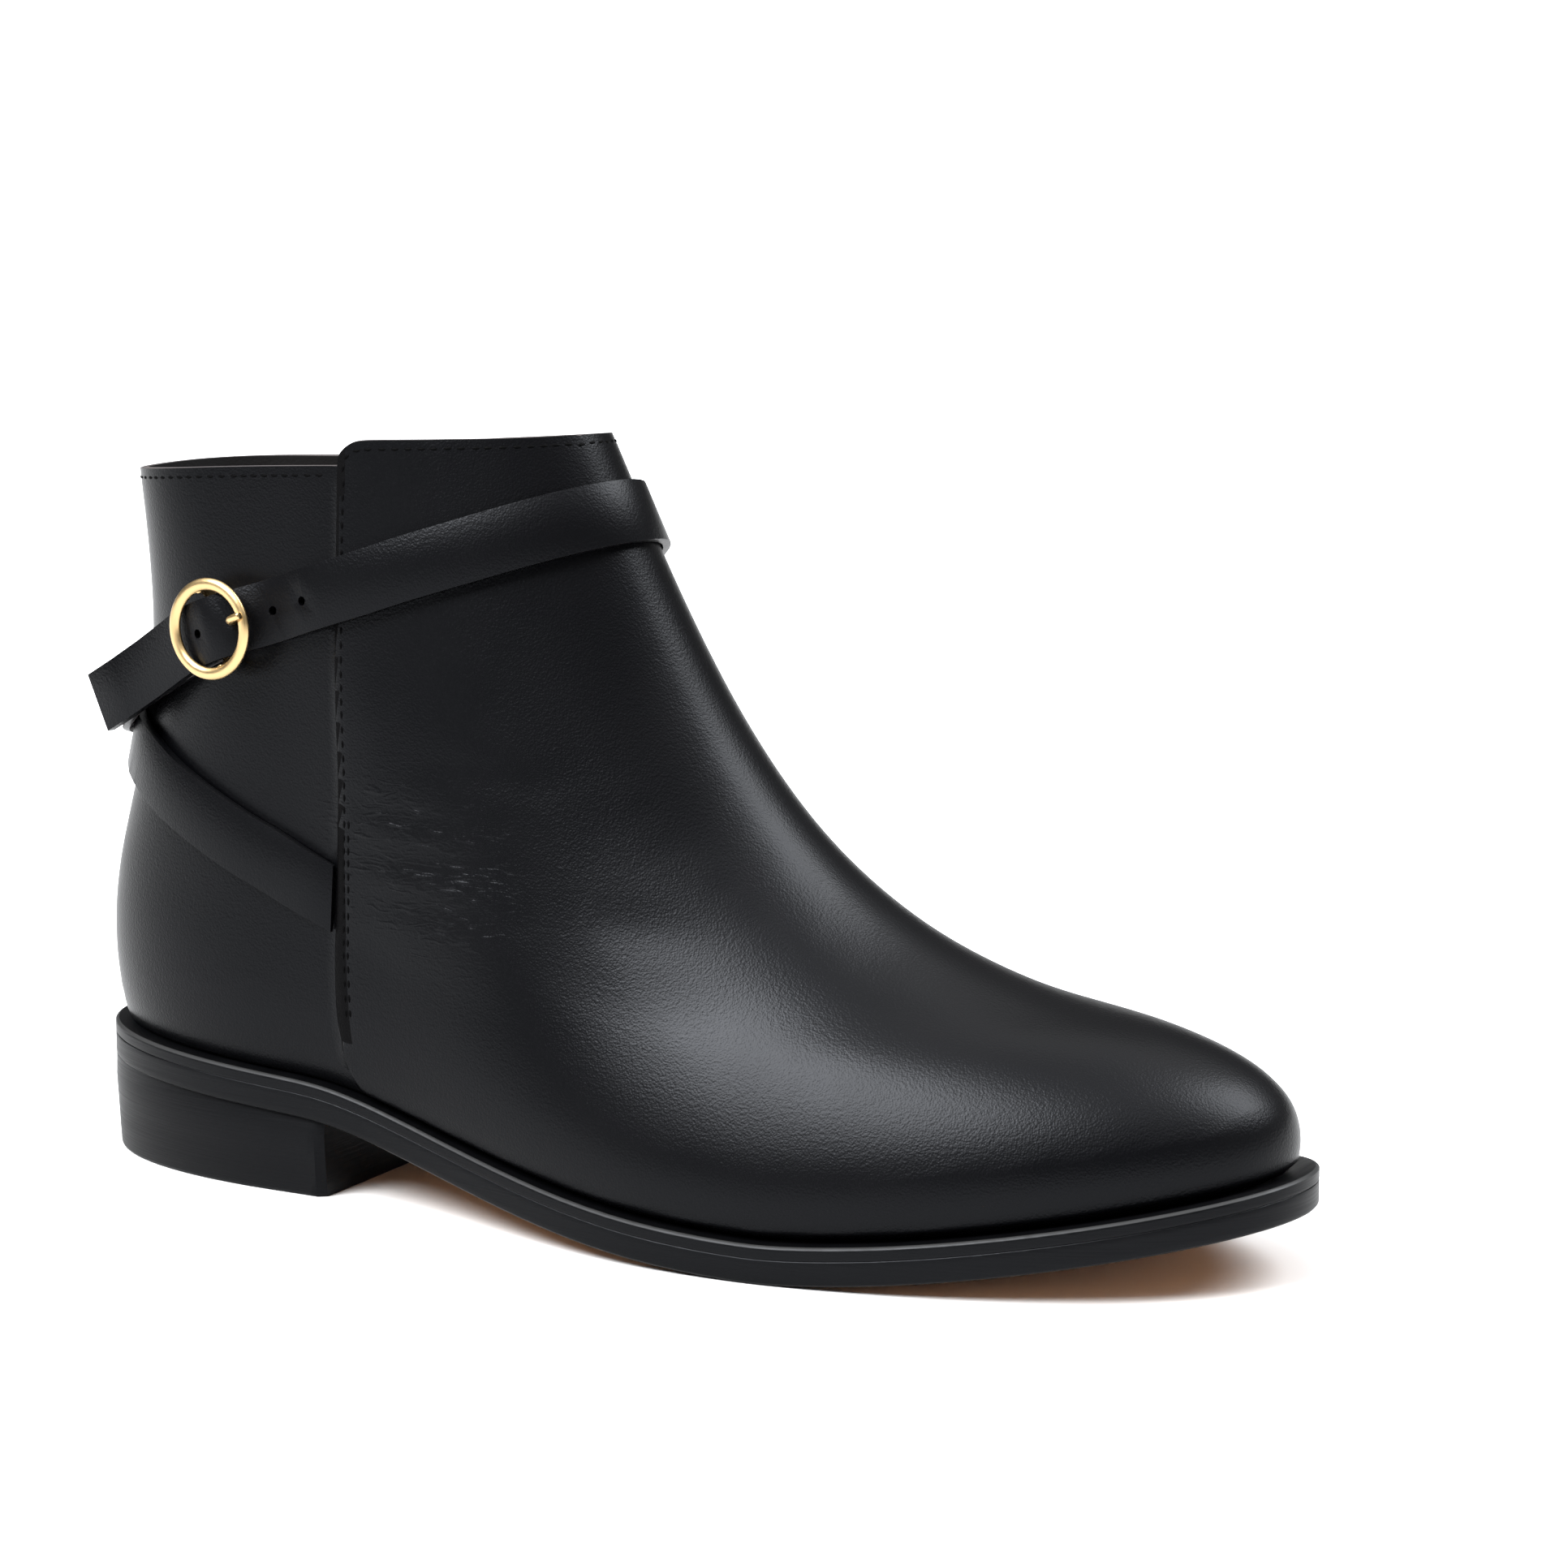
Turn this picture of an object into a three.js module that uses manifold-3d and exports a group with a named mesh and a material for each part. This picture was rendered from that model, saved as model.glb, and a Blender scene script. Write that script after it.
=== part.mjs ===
import * as THREE from 'three';
import { mergeVertices } from 'three/addons/utils/BufferGeometryUtils.js';
import Module from 'manifold-3d';

const wasm = await Module();
wasm.setup();

// Driving sizes of this right boot, in millimetres.
// +X runs from heel to toe, +Y to the inner side of the foot, +Z up from the floor.
const soleLength = 271.2;
const ballWidth = 90;
const heelWidth = 65;
const heelHeight = 20;
const heelPitch = 3.8;
const heelBreast = 69;
const heelTaper = 1;
const heelRestX = 35;
const treadStart = 168;
const treadEnd = 182;
const toeSpring = 14.5;
const toeTurn = 4;
const waistBend = 1.6;
const waistEase = 0.35;
const toeBend = 1.3;
const heelRound = 2.2;
const toeRound = 2;
const outsoleThickness = 4.6;
const weltThickness = 2.8;
const insoleThickness = 2.4;
const weltEdgeHeel = 3;
const weltEdgeFore = 4;
const weltEdgeToe = 5.6;
const weltInset = 9;
const lastingMargin = 12;
const marginThickness = 1.6;
const wallFoot = 2.2;
const edgeBevel = 0.5;
const fitGap = 0.3;

const collarBack = 144.2;
const collarFront = 150.6;
const collarCrown = 1.2;
const collarDipInner = 1;
const panelRise = 5;
const panelRiseInner = 2.8;
const panelCorner = 6.4;
const panelStep = 1.2;
const wallThickness = 1.8;

const strapWidth = 12.8;
const strapThickness = 1.7;
const strapFreeEnd = 25;
const strapEndLift = 2.5;
const strapGap = 0.45;
const strapHoleDiameter = 2;
const strapHoleSpacing = 8.4;
const chapeThickness = 0.8;
const chapeReach = 3.2;
const ringDiameter = 20.5;
const ringBand = 2.3;
const ringThickness = 1.6;
const ringRise = 5.9;
const ringTilt = -3;
const barDiameter = 1.3;
const prongDiameter = 1.4;
const prongEye = 0.8;
const buckleGap = 0.2;

// Level rings of the last, from the feather line up to the quarters' top line.
// back, front: share of the sole's length; backUp, frontUp: share of the way up to the collar;
// heel: share of the heel's width; outer, inner and pinches: share of the ball's width;
// heelAt, ballAt, ballAtInner, seam: share of the ring's own length; crown: share of the collar's crown.
const levelColumns = [
  'back', 'backUp', 'front', 'frontUp', 'heel', 'outer', 'inner', 'pinchOuter', 'pinchInner',
  'heelAt', 'ballAt', 'ballAtInner', 'sag', 'crown', 'seam',
];
const levelRows = [
  [0.010, 0.000, 0.972, 0.000, 0.467, 0.502, 0.410, 0.016, 0.085, 0.22, 0.575, 0.68, 1.00, 0.00, 0.297],
  [0.006, 0.052, 0.974, 0.049, 0.490, 0.522, 0.430, 0.016, 0.072, 0.22, 0.575, 0.68, 1.00, 0.00, 0.280],
  [0.002, 0.121, 0.965, 0.099, 0.494, 0.515, 0.425, 0.014, 0.060, 0.22, 0.575, 0.68, 0.97, 0.00, 0.279],
  [0.002, 0.208, 0.934, 0.147, 0.485, 0.483, 0.408, 0.010, 0.046, 0.22, 0.570, 0.66, 0.88, 0.00, 0.285],
  [0.007, 0.294, 0.876, 0.185, 0.475, 0.444, 0.390, 0.006, 0.032, 0.23, 0.560, 0.64, 0.72, 0.00, 0.299],
  [0.018, 0.390, 0.787, 0.214, 0.465, 0.411, 0.373, 0.002, 0.018, 0.24, 0.550, 0.61, 0.52, 0.00, 0.325],
  [0.030, 0.494, 0.694, 0.284, 0.455, 0.383, 0.361, 0.000, 0.008, 0.26, 0.540, 0.58, 0.34, 0.00, 0.359],
  [0.040, 0.606, 0.611, 0.404, 0.445, 0.356, 0.344, 0.000, 0.000, 0.28, 0.530, 0.55, 0.18, 0.05, 0.400],
  [0.045, 0.727, 0.543, 0.570, 0.430, 0.333, 0.326, 0.000, 0.000, 0.29, 0.520, 0.53, 0.07, 0.20, 0.441],
  [0.044, 0.857, 0.484, 0.779, 0.410, 0.306, 0.301, 0.000, 0.000, 0.27, 0.510, 0.51, 0.00, 0.55, 0.496],
  [0.039, 1.000, 0.433, 1.000, 0.385, 0.283, 0.276, 0.000, 0.000, 0.23, 0.500, 0.50, 0.00, 1.00, 0.560],
];

const levelTable = levelRows.map((row) =>
  Object.fromEntries(levelColumns.map((name, i) => [name, row[i]])));

const mix = (a, b, share) => a + (b - a) * share;
const smooth = (share) => share * share * (3 - 2 * share);
const clamp = (value, low, high) => Math.min(Math.max(value, low), high);

// A smooth curve through evenly spaced values, read at a share from 0 to 1.
function through(values, share) {
  const last = values.length - 1;
  const at = clamp(share, 0, 1) * last;
  const i = Math.min(Math.floor(at), last - 1);
  const f = at - i;
  const p1 = values[i];
  const p2 = values[i + 1];
  const p0 = i > 0 ? values[i - 1] : 2 * p1 - p2;
  const p3 = i < last - 1 ? values[i + 2] : 2 * p2 - p1;
  const bend = 2 * p0 - 5 * p1 + 4 * p2 - p3;
  return 0.5 * (2 * p1 + (p2 - p0) * f + bend * f * f + (3 * (p1 - p2) + p3 - p0) * f ** 3);
}

// The sole's underside: pitched heel seat, waist, flat tread and toe spring.
function soleUnder(x) {
  const breastHeight = heelHeight - heelPitch;
  if (x <= heelBreast) {
    return heelHeight - heelPitch * (x / heelBreast);
  }
  if (x < treadStart) {
    const left = (treadStart - x) / (treadStart - heelBreast);
    return breastHeight * (left ** waistBend + waistEase * (1 - left) * left ** 5);
  }
  if (x <= treadEnd) {
    return 0;
  }
  return toeSpring * ((x - treadEnd) / (soleLength - treadEnd)) ** toeBend;
}

const soleTop = outsoleThickness + fitGap + weltThickness;
const featherHeight = (x) => soleUnder(x) + soleTop + fitGap;

// One level of the last at a share of its height, with every column in millimetres or shares.
function levelAt(height) {
  const column = (name) => through(levelTable.map((row) => row[name]), height);
  const seatBack = featherHeight(levelTable[0].back * soleLength);
  const seatFront = featherHeight(levelTable[0].front * soleLength);
  return {
    backX: column('back') * soleLength,
    backZ: mix(seatBack, collarBack, column('backUp')),
    frontX: column('front') * soleLength,
    frontZ: mix(seatFront, collarFront, column('frontUp')),
    heel: column('heel') * heelWidth,
    outer: column('outer') * ballWidth,
    inner: column('inner') * ballWidth,
    pinchOuter: column('pinchOuter') * ballWidth,
    pinchInner: column('pinchInner') * ballWidth,
    heelAt: column('heelAt'),
    ballAt: column('ballAt'),
    ballAtInner: column('ballAtInner'),
    sag: column('sag'),
    crown: column('crown'),
    seam: column('seam'),
  };
}

// A turn runs round the boot: 0 back, 1 outer side seam, 2 front, 3 inner side seam, 4 back.
const fullTurn = 4;
const frontTurn = fullTurn / 2;

// Half the width of a level ring at a share of its length.
function halfWidth(level, share, side) {
  const { ball, ballAt, pinch } = side;
  if (share < level.heelAt) {
    const f = 1 - share / level.heelAt;
    return level.heel * Math.max(1 - f ** heelRound, 0) ** (1 / heelRound);
  }
  if (share < ballAt) {
    const f = (share - level.heelAt) / (ballAt - level.heelAt);
    return mix(level.heel, ball, smooth(f)) - pinch * Math.sin(Math.PI * f) ** 2;
  }
  const f = (share - ballAt) / (1 - ballAt);
  return ball * Math.max(1 - f ** toeRound, 0) ** (1 / toeRound);
}

function ringShare(level, turn) {
  const side = Math.min(turn, fullTurn - turn);
  if (side <= 1) {
    return level.seam * (1 - Math.cos((Math.PI / 2) * side));
  }
  return level.seam + (1 - level.seam) * Math.sin((Math.PI / 2) * (side - 1));
}

// A point of the last's outside at a turn round it and a share of its height.
function lastPoint(turnRound, height, level = levelAt(height)) {
  const turn = THREE.MathUtils.euclideanModulo(turnRound, fullTurn);
  const share = ringShare(level, turn);
  const x = mix(level.backX, level.frontX, share);
  const outerSide = turn <= frontTurn;
  const half = halfWidth(level, share, outerSide
    ? { ball: level.outer, ballAt: level.ballAt, pinch: level.pinchOuter }
    : { ball: level.inner, ballAt: level.ballAtInner, pinch: level.pinchInner });
  const centre = toeTurn * (x / soleLength) ** 2;
  const footX = mix(levelTable[0].back, levelTable[0].front, share) * soleLength;
  const chordBack = featherHeight(levelTable[0].back * soleLength);
  const chordFront = featherHeight(levelTable[0].front * soleLength);
  const dip = featherHeight(footX) - mix(chordBack, chordFront, share);
  const z = mix(level.backZ, level.frontZ, share) + level.sag * dip
    + level.crown * (outerSide ? collarCrown : -collarDipInner) * Math.sin(Math.PI * share ** 0.75);
  return new THREE.Vector3(x, centre + (outerSide ? -half : half), z);
}

const turnStep = 0.01;
const heightStep = 0.004;

function alongTurn(turn, height) {
  const level = levelAt(height);
  return lastPoint(turn + turnStep, height, level).sub(lastPoint(turn - turnStep, height, level));
}

function alongHeight(turn, height) {
  const low = Math.max(height - heightStep, 0);
  const high = Math.min(height + heightStep, 1);
  return lastPoint(turn, high).sub(lastPoint(turn, low));
}

function lastNormal(turn, height) {
  return alongTurn(turn, height).cross(alongHeight(turn, height)).normalize();
}

// The seat's outline in plan, moved out (or in, when negative) from the feather line.
function outlinePoint(turn, out, z) {
  const point = lastPoint(turn, 0);
  const along = alongTurn(turn, 0);
  const flat = new THREE.Vector3(along.y, -along.x, 0).normalize();
  point.addScaledVector(flat, out);
  point.z = z(point.x);
  return point;
}

function weltEdge(turn) {
  const { x } = lastPoint(turn, 0);
  if (x < treadStart) {
    const pastBreast = clamp((x - heelBreast) / (treadStart - heelBreast), 0, 1);
    return mix(weltEdgeHeel, weltEdgeFore, smooth(pastBreast));
  }
  return mix(weltEdgeFore, weltEdgeToe, smooth((x - treadStart) / (soleLength - treadStart)));
}

// Solids from loops of points.
// Each loop starts at the back and runs round by the outer side; caps are ladders across it.
function capLadder(start, count, triangles) {
  for (let i = 0; i < count - i - 1; i++) {
    const left = start + i;
    const leftNext = start + i + 1;
    const right = start + ((count - i) % count);
    const rightNext = start + (count - i - 1);
    if (leftNext < rightNext) {
      triangles.push(leftNext, rightNext, left);
    }
    if (i > 0) {
      triangles.push(left, rightNext, right);
    }
  }
}

function meshSolid(points, triangles) {
  const geometry = new THREE.BufferGeometry();
  const flat = points.flatMap((p) => [p.x, p.y, p.z]);
  geometry.setAttribute('position', new THREE.Float32BufferAttribute(flat, 3));
  let volume = 0;
  for (let i = 0; i < triangles.length; i += 3) {
    const [a, b, c] = [0, 1, 2].map((k) => points[triangles[i + k]]);
    volume += a.dot(b.clone().cross(c));
  }
  const faces = volume < 0 ? triangles.toReversed() : triangles;
  geometry.setIndex(faces);
  return geometry;
}

function skin(loops, closed) {
  const count = loops[0].length;
  const triangles = [];
  const bands = closed ? loops.length : loops.length - 1;
  for (let i = 0; i < bands; i++) {
    const here = i * count;
    const next = ((i + 1) % loops.length) * count;
    for (let j = 0; j < count; j++) {
      const k = (j + 1) % count;
      triangles.push(here + j, here + k, next + k);
      triangles.push(here + j, next + k, next + j);
    }
  }
  if (!closed) {
    const bottom = [];
    const top = [];
    capLadder(0, count, bottom);
    capLadder((loops.length - 1) * count, count, top);
    triangles.push(...bottom.toReversed(), ...top);
  }
  return meshSolid(loops.flat(), triangles);
}

// The turn at which the feather line reaches x.
function turnAtX(x) {
  const level = levelAt(0);
  const share = (x - level.backX) / (level.frontX - level.backX);
  if (share < level.seam) {
    return Math.acos(1 - share / level.seam) / (Math.PI / 2);
  }
  return 1 + Math.asin((share - level.seam) / (1 - level.seam)) / (Math.PI / 2);
}

// Columns of one side, the same for every layer: turns where one must stand, and how many follow.
const treadEase = 2;
const cornerShares = [0.04, 0.14, 0.34, 0.64];
const cornerTurn = (panelCorner * turnStep * 2) / alongTurn(1.02, 1).length();
const columnStops = [
  [0, 8],
  [turnAtX(heelBreast), 1],
  [1, 1],
  ...cornerShares.map((share) => [1 + cornerTurn * share, 1]),
  [1 + cornerTurn, 3],
  [turnAtX(treadStart + treadEase), 1],
  [turnAtX(treadEnd - treadEase), 8],
];
const sideTurns = columnStops.flatMap(([from, count], i) => {
  const to = i < columnStops.length - 1 ? columnStops[i + 1][0] : frontTurn;
  return Array.from({ length: count }, (_, k) => mix(from, to, k / count));
});
const turns = [...sideTurns, frontTurn, ...sideTurns.slice(1).reverse().map((turn) => fullTurn - turn)];

// A sole layer between two heights, its edge bevelled top and bottom.
function soleLoop(out, lift) {
  return turns.map((turn) => outlinePoint(turn, out(turn), (x) => soleUnder(x) + lift));
}

function makeOutsole() {
  const bevelled = (turn) => weltEdge(turn) - edgeBevel;
  return skin([
    soleLoop(bevelled, 0),
    soleLoop(weltEdge, edgeBevel),
    soleLoop(weltEdge, outsoleThickness - edgeBevel / 2),
    soleLoop((turn) => weltEdge(turn) - edgeBevel / 2, outsoleThickness),
  ], false);
}

function makeWelt() {
  const foot = outsoleThickness + fitGap;
  const inset = () => -weltInset;
  return skin([
    soleLoop(inset, foot),
    soleLoop((turn) => weltEdge(turn) - edgeBevel / 2, foot),
    soleLoop(weltEdge, foot + edgeBevel / 2),
    soleLoop(weltEdge, soleTop - edgeBevel),
    soleLoop((turn) => weltEdge(turn) - edgeBevel, soleTop),
    soleLoop(inset, soleTop),
  ], true);
}

// The heel block follows the outsole's outline to a square breast.
function turnAtBreast(side) {
  let low = 0;
  let high = 1.5;
  for (let i = 0; i < 40; i++) {
    const middle = (low + high) / 2;
    const turn = side > 0 ? middle : fullTurn - middle;
    if (outlinePoint(turn, weltEdge(turn), () => 0).x < heelBreast) {
      low = middle;
    } else {
      high = middle;
    }
  }
  return low;
}

function heelLoop(inset, z) {
  const columns = 14;
  const outerTurn = turnAtBreast(1);
  const innerTurn = turnAtBreast(-1);
  const points = [];
  for (let i = 0; i <= columns; i++) {
    points.push(outerTurn * (i / columns));
  }
  for (let i = columns; i > 0; i--) {
    points.push(fullTurn - innerTurn * (i / columns));
  }
  return points.map((turn) => outlinePoint(turn, weltEdge(turn) - inset, z));
}

function makeHeel() {
  return skin([
    heelLoop(heelTaper + edgeBevel, () => 0),
    heelLoop(heelTaper, () => edgeBevel),
    heelLoop(0, (x) => soleUnder(x) - fitGap),
  ], false);
}

// The insole lies on the lasting margin, and its filled middle reaches down inside the margin.
function makeInsole() {
  const rimOut = () => -(wallFoot + fitGap);
  const middleOut = () => -(lastingMargin + fitGap);
  const seat = soleTop + fitGap + marginThickness + fitGap;
  return skin([
    soleLoop(middleOut, outsoleThickness + fitGap),
    soleLoop(middleOut, seat),
    soleLoop(rimOut, seat),
    soleLoop(rimOut, seat + insoleThickness),
  ], false);
}

// The upper: vamp panel laid on the quarters as a step in one wall, lasted in underneath.
const levelCount = 30;
const panelRoot = 0.9;
const pastSeam = (turn) => Math.min(turn, fullTurn - turn) - 1;

// The panel's top edge stands above the quarters, with a rounded corner at each seam.
function panelTop(turn) {
  const share = clamp(pastSeam(turn) / cornerTurn, 0, 1);
  const rise = mix(panelRise, panelRiseInner, smooth(clamp((turn - 1.7) / 1.3, 0, 1)));
  return rise * Math.sqrt(1 - (1 - share) ** 2);
}

function upperWall(turn, height, out) {
  const point = lastPoint(turn, height).addScaledVector(lastNormal(turn, height), out);
  const up = alongHeight(turn, 1).normalize();
  const aboveRoot = clamp((height - panelRoot) / (1 - panelRoot), 0, 1);
  return point.addScaledVector(up, panelTop(turn) * aboveRoot);
}

function makeUpper() {
  const margin = (out, lift) =>
    turns.map((turn) => outlinePoint(turn, out, (x) => featherHeight(x) + lift));
  const outside = (height) =>
    turns.map((turn) => upperWall(turn, height, pastSeam(turn) > 0 ? panelStep : 0));
  const inside = (height) => turns.map((turn) => upperWall(turn, height, -wallThickness));
  const heights = Array.from({ length: levelCount }, (_, i) => (i + 1) / levelCount);
  const loops = [margin(-lastingMargin, 0), margin(-0.6, 0)];
  loops.push(...heights.map(outside));
  loops.push(...heights.toReversed().map(inside));
  loops.push(margin(-wallFoot, marginThickness));
  loops.push(margin(-lastingMargin, marginThickness));
  return skin(loops, true);
}

// Solids from geometry and back, for cuts and joins.
function toSolid(geometry) {
  const plain = geometry.clone();
  plain.deleteAttribute('normal');
  plain.deleteAttribute('uv');
  const merged = mergeVertices(plain, 1e-4);
  return new wasm.Manifold(new wasm.Mesh({
    numProp: 3,
    vertProperties: new Float32Array(merged.attributes.position.array),
    triVerts: new Uint32Array(merged.index.array),
  }));
}

function toGeometry(solid) {
  const mesh = solid.getMesh();
  const geometry = new THREE.BufferGeometry();
  geometry.setAttribute('position', new THREE.Float32BufferAttribute(mesh.vertProperties, 3));
  geometry.setIndex(Array.from(mesh.triVerts));
  return geometry;
}

// The straps lie flat on the upper: rows of turn round the boot and height up the last.
// layer: 0 on the upper, 1 over the other strap; full: share of the strap's thickness.
const strapColumns = ['turn', 'height', 'layer', 'full'];
const ankleRows = [
  [0.995, 0.498, 0, 0.45], [0.900, 0.513, 0, 1], [0.787, 0.537, 0, 1], [0.663, 0.566, 0, 1],
  [0.531, 0.592, 0, 1], [0.406, 0.614, 0, 1], [0.200, 0.634, 0, 1], [0.000, 0.648, 0, 1],
  [-0.200, 0.672, 0, 1], [-0.400, 0.710, 0, 1], [-0.600, 0.750, 0, 1], [-0.800, 0.795, 0, 1],
  [-1.000, 0.840, 0, 1], [-1.200, 0.880, 0, 1], [-1.400, 0.915, 0, 1], [-1.600, 0.940, 0, 1],
  [-1.800, 0.954, 0, 1], [-2.000, 0.960, 0, 1], [-2.200, 0.960, 0, 1], [-2.400, 0.954, 0, 1],
  [-2.600, 0.941, 0, 1], [-2.800, 0.921, 0, 1], [-2.956, 0.899, 0, 1], [-3.080, 0.879, 0, 1],
  [-3.200, 0.858, 0, 1], [-3.300, 0.838, 0, 1], [-3.380, 0.819, 0, 1], [-3.440, 0.799, 0, 1],
];
const buckleRows = [
  [-0.995, 0.498, 0, 0.45], [-0.900, 0.513, 0, 1], [-0.787, 0.537, 0, 1], [-0.663, 0.566, 0.1, 1],
  [-0.560, 0.587, 0.6, 1], [-0.460, 0.605, 1, 1], [-0.360, 0.620, 1, 1], [-0.240, 0.632, 1, 1],
  [-0.120, 0.641, 1, 1], [0.000, 0.650, 1, 1], [0.120, 0.667, 1, 1], [0.240, 0.695, 1, 1],
  [0.340, 0.728, 1, 1], [0.430, 0.758, 0.5, 1], [0.510, 0.786, 0, 1], [0.580, 0.806, 0, 1],
];
const ringTurn = 0.7;
const layerLift = strapThickness + 2 * fitGap;
const seamRamp = 0.07;
const seamLead = 0.05;
const sewnShare = 0.12;
const strapFlatness = 0.25;
const strapShares = [-1, 0, 1];

function strapPlace(rows, share) {
  const place = { over: smooth(clamp(share / sewnShare, 0, 1)) };
  strapColumns.forEach((name, i) => {
    place[name] = through(rows.map((row) => row[i]), share);
  });
  return place;
}

// How far the vamp panel lifts what lies over it, with a ramp before its edge.
function panelLift(turnRound) {
  const past = pastSeam(THREE.MathUtils.euclideanModulo(turnRound, fullTurn));
  return panelStep * smooth(clamp((past + seamLead + seamRamp) / seamRamp, 0, 1));
}

function outerPoint({ turn, height, over }) {
  return lastPoint(turn, height).addScaledVector(lastNormal(turn, height), over * panelLift(turn));
}

// How far the upper stands above a target, straight out from the strap's middle.
function riseAt(target, place, normal) {
  const near = { ...place };
  for (let pass = 0; pass < 4; pass++) {
    const byTurn = alongTurn(near.turn, near.height).divideScalar(2 * turnStep);
    const byHeight = alongHeight(near.turn, near.height).divideScalar(2 * heightStep);
    const miss = target.clone().sub(outerPoint(near));
    const both = byTurn.dot(byHeight);
    const determinant = byTurn.lengthSq() * byHeight.lengthSq() - both ** 2;
    const missTurn = miss.dot(byTurn);
    const missHeight = miss.dot(byHeight);
    near.turn += (missTurn * byHeight.lengthSq() - missHeight * both) / determinant;
    near.height += (missHeight * byTurn.lengthSq() - missTurn * both) / determinant;
    near.height = clamp(near.height, 0, 1);
  }
  return outerPoint(near).sub(target).dot(normal);
}

// A station of a strap: its foot on the upper, its frame, its thickness, and its lifts across it.
function strapStation(rows, share, raise = 0, alongSeam = false) {
  const place = strapPlace(rows, share);
  const foot = outerPoint(place);
  const nudge = 0.002;
  const along = outerPoint(strapPlace(rows, share + nudge))
    .sub(outerPoint(strapPlace(rows, share - nudge))).normalize();
  const normal = lastNormal(place.turn, place.height);
  const across = normal.clone().cross(along).normalize();
  normal.copy(along.clone().cross(across));
  if (alongSeam) {
    const seam = alongHeight(place.turn, place.height).normalize();
    across.copy(seam.divideScalar(seam.dot(across)));
  }
  const rises = strapShares.map((side) =>
    riseAt(foot.clone().addScaledVector(across, (side * strapWidth) / 2), place, normal));
  const flatRise = Math.max(...rises);
  const flat = mix(strapFlatness, 1, smooth(clamp(raise / strapThickness, 0, 1)));
  const lift = strapGap + place.layer * layerLift + raise;
  const lifts = rises.map((rise) => lift + mix(rise, flatRise, flat));
  const seat = foot.clone().addScaledVector(normal, flatRise);
  return { foot, seat, along, across, normal, thickness: strapThickness * place.full, lifts };
}

function strapSection({ foot, across, normal, thickness, lifts }) {
  const at = (i, lift) => foot.clone()
    .addScaledVector(across, (strapShares[i] * strapWidth) / 2)
    .addScaledVector(normal, lift);
  const under = lifts.map((lift, i) => at(i, lift));
  const over = lifts.map((lift, i) => at(i, lift + thickness));
  return [...under, ...over.reverse()];
}

const bandSolid = (stations) => skin(stations.map(strapSection), false);

// The share of the ankle strap's rows at which it reaches the ring.
function shareAtRing() {
  let low = 0.5;
  let high = 1;
  for (let i = 0; i < 30; i++) {
    const middle = (low + high) / 2;
    if (strapPlace(ankleRows, middle).turn > ringTurn - fullTurn) {
      low = middle;
    } else {
      high = middle;
    }
  }
  return low;
}

// The buckle's own frame: seat on the quarter, +along to the front, +across up, +normal out.
function buckleFrame() {
  const share = shareAtRing();
  const { seat, along, across, normal } = strapStation(ankleRows, share);
  return { share, seat, along: along.negate(), across: across.negate(), normal };
}

const buckle = buckleFrame();
const inBuckle = (along, across, out) => buckle.seat.clone()
  .addScaledVector(buckle.along, along)
  .addScaledVector(buckle.across, across)
  .addScaledVector(buckle.normal, out);
const buckleMatrix = new THREE.Matrix4()
  .makeBasis(buckle.along, buckle.across, buckle.normal)
  .setPosition(buckle.seat);

// Heights above the quarter of what is stacked at the bar.
const barHeight = fitGap + chapeThickness + buckleGap + barDiameter / 2;
const chapeTop = barHeight + barDiameter / 2 + buckleGap + chapeThickness;
const strapOverBar = chapeTop + fitGap;
const ringRadius = (ringDiameter - ringBand) / 2;

// Lift of the ankle strap over the bar, at a distance along it from the bar.
const humpFront = 12;
const humpBack = 10;
const hump = (share) => (share < 1 ? (1 + Math.cos(Math.PI * share)) / 2 : 0);

function barHump(distance) {
  if (distance > 0) {
    return (strapOverBar - fitGap) * hump(distance / humpFront);
  }
  return layerLift + (strapOverBar - fitGap - layerLift) * hump(-distance / humpBack);
}

const ankleSteps = 84;

// Distance of a station from the bar, measured forward along the strap.
function fromBar(share) {
  return strapStation(ankleRows, share).seat.sub(buckle.seat).dot(buckle.along);
}

// The sewn end is cut along the side seam, and the strap's plain stations start past the cut.
const mitreLength = 5;

function sewnEnd(rows, steps) {
  const end = strapStation(rows, 0, 0, true);
  let first = 1;
  while (strapStation(rows, first / steps).foot.distanceTo(end.foot) < mitreLength) {
    first += 1;
  }
  return { end, first };
}

function ankleStations() {
  const { end, first } = sewnEnd(ankleRows, ankleSteps);
  const stations = [end];
  const nearBuckle = buckle.share - 0.1;
  for (let i = first; i <= ankleSteps; i++) {
    const share = i / ankleSteps;
    const raise = share > nearBuckle ? barHump(fromBar(share)) : 0;
    stations.push(strapStation(ankleRows, share, raise));
  }
  return stations;
}

function freeEnd(last) {
  return [0.35, 0.7, 1].map((share) => ({
    ...last,
    foot: last.foot.clone()
      .addScaledVector(last.along, share * strapFreeEnd)
      .addScaledVector(last.normal, share * share * strapEndLift),
  }));
}

function holeCutter({ foot, along, across, normal, lifts, thickness }, forward, length) {
  const cutter = new THREE.CylinderGeometry(strapHoleDiameter / 2, strapHoleDiameter / 2, length, 8);
  const middle = foot.clone()
    .addScaledVector(normal, lifts[1] + thickness / 2)
    .addScaledVector(along, forward);
  cutter.applyMatrix4(new THREE.Matrix4()
    .makeBasis(along, normal, across.clone().negate())
    .setPosition(middle));
  return toSolid(cutter);
}

const prongReach = ringRadius + 0.2;
const prongHoleAt = 5;

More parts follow.
